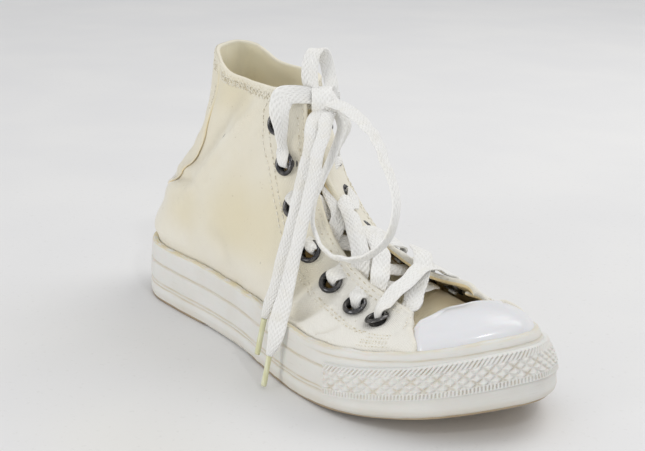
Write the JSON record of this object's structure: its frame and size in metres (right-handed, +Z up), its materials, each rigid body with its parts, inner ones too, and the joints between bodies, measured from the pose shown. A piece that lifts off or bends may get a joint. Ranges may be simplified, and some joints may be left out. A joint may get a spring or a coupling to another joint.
{
  "type": "worn canvas high-top sneaker",
  "caption": "Worn cream canvas high-top sneaker, right foot, with a rubber strip and toe cap, metal eyelets and a slack white lace tied in a knot",
  "frame": {"origin": "on the floor under the middle of the shoe, measured without the loose lace", "axes": "+X to the toe, +Y to the inner side of the foot, +Z up"},
  "size_m": [0.2164, 0.0872, 0.1204],
  "materials": {
    "outsole_rubber": "matt, dirty, tan at the edge",
    "strip_rubber": "satin off-white rubber, scuffed, with dirt in its grooves",
    "cap_rubber": "glossy white rubber",
    "canvas": "matt plain-weave cotton canvas, yellowed unevenly",
    "tongue_canvas": "matt canvas, browned",
    "insole_cloth": "matt cloth, worn and browned",
    "eyelet_metal": "dark gunmetal, glossy",
    "lace_cotton": "matt flat woven cotton",
    "aglet_plastic": "cloudy clear plastic, slightly green"
  },
  "bodies": {
    "root": {"outsole": "outsole_rubber", "foxing": "strip_rubber", "toe_bumper": "strip_rubber", "insole": "insole_cloth", "upper": "canvas", "toe_cap": "cap_rubber", "tongue": "tongue_canvas", "eyelet_outer_1": "eyelet_metal", "eyelet_outer_2": "eyelet_metal", "eyelet_outer_3": "eyelet_metal", "eyelet_outer_4": "eyelet_metal", "eyelet_outer_5": "eyelet_metal", "eyelet_outer_6": "eyelet_metal", "eyelet_outer_7": "eyelet_metal", "eyelet_inner_1": "eyelet_metal", "eyelet_inner_2": "eyelet_metal", "eyelet_inner_3": "eyelet_metal", "eyelet_inner_4": "eyelet_metal", "eyelet_inner_5": "eyelet_metal", "eyelet_inner_6": "eyelet_metal", "eyelet_inner_7": "eyelet_metal", "vent_eyelet_1": "eyelet_metal", "vent_eyelet_2": "eyelet_metal", "lace_crossings": "lace_cotton", "lace_knot": "lace_cotton", "lace_loop_front": "lace_cotton", "lace_end_1": "lace_cotton", "lace_end_2": "lace_cotton", "aglet_1": "aglet_plastic", "aglet_2": "aglet_plastic"}
  },
  "joints": []
}
